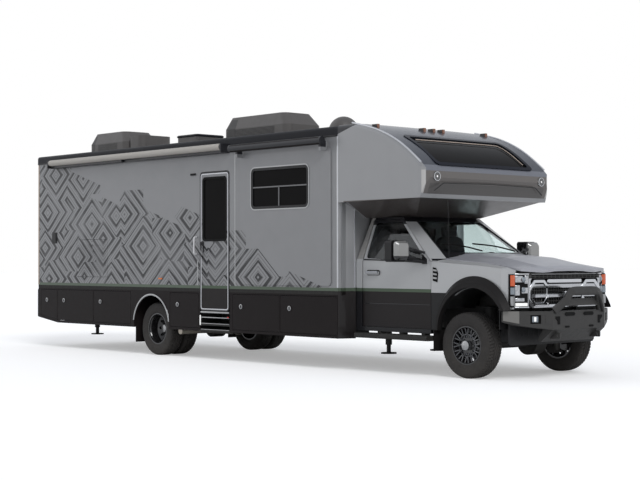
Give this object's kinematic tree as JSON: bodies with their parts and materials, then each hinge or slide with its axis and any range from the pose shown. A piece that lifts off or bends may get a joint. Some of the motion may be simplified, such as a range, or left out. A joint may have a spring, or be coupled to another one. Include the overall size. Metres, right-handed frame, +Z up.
{
  "type": "motorhome",
  "caption": "Motorhome on a heavy pickup chassis with a cab-over cap, box coach, slide-out room, patio awning, dual rear wheels, baggage doors and a steel front bumper",
  "frame": {"origin": "on the ground, at the middle of the overall length and width", "axes": "+X forward, +Y to the left, +Z up"},
  "size_m": [11.22, 2.908, 3.7749],
  "materials": {
    "coach_silver": "satin metallic grey paint",
    "cap_silver": "gloss metallic silver paint",
    "lower_body": "gloss brown-black paint",
    "cab_silver": "gloss metallic silver paint",
    "cab_black": "gloss black paint",
    "hood_paint": "gloss metallic silver-blue paint",
    "door_black": "gloss black paint",
    "roof_skin": "moulded roof edge in dark grey",
    "chassis_black": "matt black chassis paint",
    "engine_iron": "raw cast iron",
    "exhaust_steel": "heat-dulled steel",
    "bay_liner": "black liner",
    "bumper_steel": "textured dark grey powder coat",
    "bright_trim": "polished",
    "trim_plastic": "grained black plastic",
    "lamp_lens": "clear lens over bright reflectors",
    "amber_lens": "amber lens",
    "cabin_plastic": "grained dark plastic",
    "seat_cloth": "dark woven cloth",
    "awning_metal": "satin",
    "roof_plastic": "moulded grey plastic",
    "dark_glass": "dark tinted glass",
    "clear_glass": "clear glass",
    "wheel_black": "gloss black paint",
    "tyre_rubber": "black rubber"
  },
  "bodies": {
    "coach": {"chassis_frame": "chassis_black", "engine": "engine_iron", "front_axle": "chassis_black", "rear_axle": "chassis_black", "exhaust": "exhaust_steel", "coach_floor": "bay_liner", "side_walls": "coach_silver", "rear_wall": "coach_silver", "roof": "roof_skin", "front_cap": "cap_silver", "skirts": "lower_body", "rear_bumper": "bumper_steel", "cab_shell": "cab_black", "windshield": "clear_glass", "fenders": "hood_paint", "fender_flares": "trim_plastic", "grille": "bright_trim", "headlamps": "lamp_lens", "small_lamps": "amber_lens", "front_bumper": "bumper_steel", "dashboard": "cabin_plastic", "seats": "seat_cloth", "side_steps": "chassis_black", "awning": "awning_metal", "roof_equipment": "roof_plastic", "coach_glass": "dark_glass", "levelling_jacks": "chassis_black"},
    "knuckle_right": {"knuckle_right": "engine_iron"},
    "wheel_front_right": {"rim_front_right": "wheel_black", "tyre_front_right": "tyre_rubber"},
    "wheels_rear_right": {"rims_rear_right": "wheel_black", "tyres_rear_right": "tyre_rubber"},
    "cab_door_right": {"cab_door_right": "cab_silver", "cab_door_glass_right": "clear_glass"},
    "knuckle_left": {"knuckle_left": "engine_iron"},
    "wheel_front_left": {"rim_front_left": "wheel_black", "tyre_front_left": "tyre_rubber"},
    "wheels_rear_left": {"rims_rear_left": "wheel_black", "tyres_rear_left": "tyre_rubber"},
    "cab_door_left": {"cab_door_left": "cab_silver", "cab_door_glass_left": "clear_glass"},
    "hood": {"hood": "hood_paint"},
    "entry_door": {"entry_door": "door_black", "entry_glass": "dark_glass"},
    "slide_room": {"slide_room": "coach_silver", "slide_glass": "dark_glass"},
    "hatch_door": {"hatch_door": "coach_silver"},
    "bay_door_right_1": {"bay_door_right_1": "lower_body"},
    "bay_door_right_2": {"bay_door_right_2": "lower_body"},
    "bay_door_right_3": {"bay_door_right_3": "lower_body"},
    "bay_door_right_4": {"bay_door_right_4": "lower_body"},
    "bay_door_right_5": {"bay_door_right_5": "lower_body"},
    "bay_door_right_6": {"bay_door_right_6": "lower_body"},
    "bay_door_left_1": {"bay_door_left_1": "lower_body"},
    "bay_door_left_2": {"bay_door_left_2": "lower_body"},
    "bay_door_left_3": {"bay_door_left_3": "lower_body"}
  },
  "joints": [
    {"name": "steer_right", "type": "hinge", "parent": "coach", "child": "knuckle_right", "pos_m": [4.5, -0.775, 0.42], "axis": [0, 0, 1], "range_deg": [-35, 35]},
    {"name": "roll_front_right", "type": "hinge", "parent": "knuckle_right", "child": "wheel_front_right", "pos_m": [4.5, -0.911, 0.42], "axis": [0, 1, 0], "continuous": true},
    {"name": "roll_rear_right", "type": "hinge", "parent": "coach", "child": "wheels_rear_right", "pos_m": [-1.93, -1.08, 0.42], "axis": [0, 1, 0], "continuous": true},
    {"name": "cab_door_right_swing", "type": "hinge", "parent": "coach", "child": "cab_door_right", "pos_m": [3.89146, -1.016, 1.2], "axis": [0, 0, 1], "range_deg": [0, 65]},
    {"name": "steer_left", "type": "hinge", "parent": "coach", "child": "knuckle_left", "pos_m": [4.5, 0.775, 0.42], "axis": [0, 0, 1], "range_deg": [-35, 35]},
    {"name": "roll_front_left", "type": "hinge", "parent": "knuckle_left", "child": "wheel_front_left", "pos_m": [4.5, 0.911, 0.42], "axis": [0, 1, 0], "continuous": true},
    {"name": "roll_rear_left", "type": "hinge", "parent": "coach", "child": "wheels_rear_left", "pos_m": [-1.93, 1.08, 0.42], "axis": [0, 1, 0], "continuous": true},
    {"name": "cab_door_left_swing", "type": "hinge", "parent": "coach", "child": "cab_door_left", "pos_m": [3.89146, 1.016, 1.2], "axis": [0, 0, -1], "range_deg": [0, 65]},
    {"name": "hood_lift", "type": "hinge", "parent": "coach", "child": "hood", "pos_m": [4.008, 0, 1.558], "axis": [0, -1, 0], "range_deg": [0, 45]},
    {"name": "entry_door_swing", "type": "hinge", "parent": "coach", "child": "entry_door", "pos_m": [0.01746, -1.27, 1.8], "axis": [0, 0, 1], "range_deg": [0, 95]},
    {"name": "slide_room_travel", "type": "slide", "parent": "coach", "child": "slide_room", "axis": [0, -1, 0], "range_m": [0, 0.6]},
    {"name": "hatch_lift", "type": "hinge", "parent": "coach", "child": "hatch_door", "pos_m": [-3.69, -1.27, 1.85746], "axis": [-1, 0, 0], "range_deg": [0, 90]},
    {"name": "bay_door_right_1_swing", "type": "hinge", "parent": "coach", "child": "bay_door_right_1", "pos_m": [-4.78654, -1.27, 0.75], "axis": [0, 0, 1], "range_deg": [0, 90]},
    {"name": "bay_door_right_2_swing", "type": "hinge", "parent": "coach", "child": "bay_door_right_2", "pos_m": [-3.65554, -1.27, 0.75], "axis": [0, 0, 1], "range_deg": [0, 90]},
    {"name": "bay_door_right_3_swing", "type": "hinge", "parent": "coach", "child": "bay_door_right_3", "pos_m": [-2.55454, -1.27, 0.75], "axis": [0, 0, 1], "range_deg": [0, 90]},
    {"name": "bay_door_right_4_swing", "type": "hinge", "parent": "coach", "child": "bay_door_right_4", "pos_m": [-0.74154, -1.27, 0.75], "axis": [0, 0, 1], "range_deg": [0, 90]},
    {"name": "bay_door_right_5_swing", "type": "hinge", "parent": "coach", "child": "bay_door_right_5", "pos_m": [1.15346, -1.27, 0.75], "axis": [0, 0, 1], "range_deg": [0, 90]},
    {"name": "bay_door_right_6_swing", "type": "hinge", "parent": "coach", "child": "bay_door_right_6", "pos_m": [2.37746, -1.27, 0.75], "axis": [0, 0, 1], "range_deg": [0, 90]},
    {"name": "bay_door_left_1_swing", "type": "hinge", "parent": "coach", "child": "bay_door_left_1", "pos_m": [-3.65554, 1.27, 0.75], "axis": [0, 0, -1], "range_deg": [0, 90]},
    {"name": "bay_door_left_2_swing", "type": "hinge", "parent": "coach", "child": "bay_door_left_2", "pos_m": [-2.55454, 1.27, 0.75], "axis": [0, 0, -1], "range_deg": [0, 90]},
    {"name": "bay_door_left_3_swing", "type": "hinge", "parent": "coach", "child": "bay_door_left_3", "pos_m": [1.15346, 1.27, 0.75], "axis": [0, 0, -1], "range_deg": [0, 90]}
  ],
  "couplings": [
    {"joint": "steer_left", "follows": "steer_right", "ratio": 1}
  ]
}
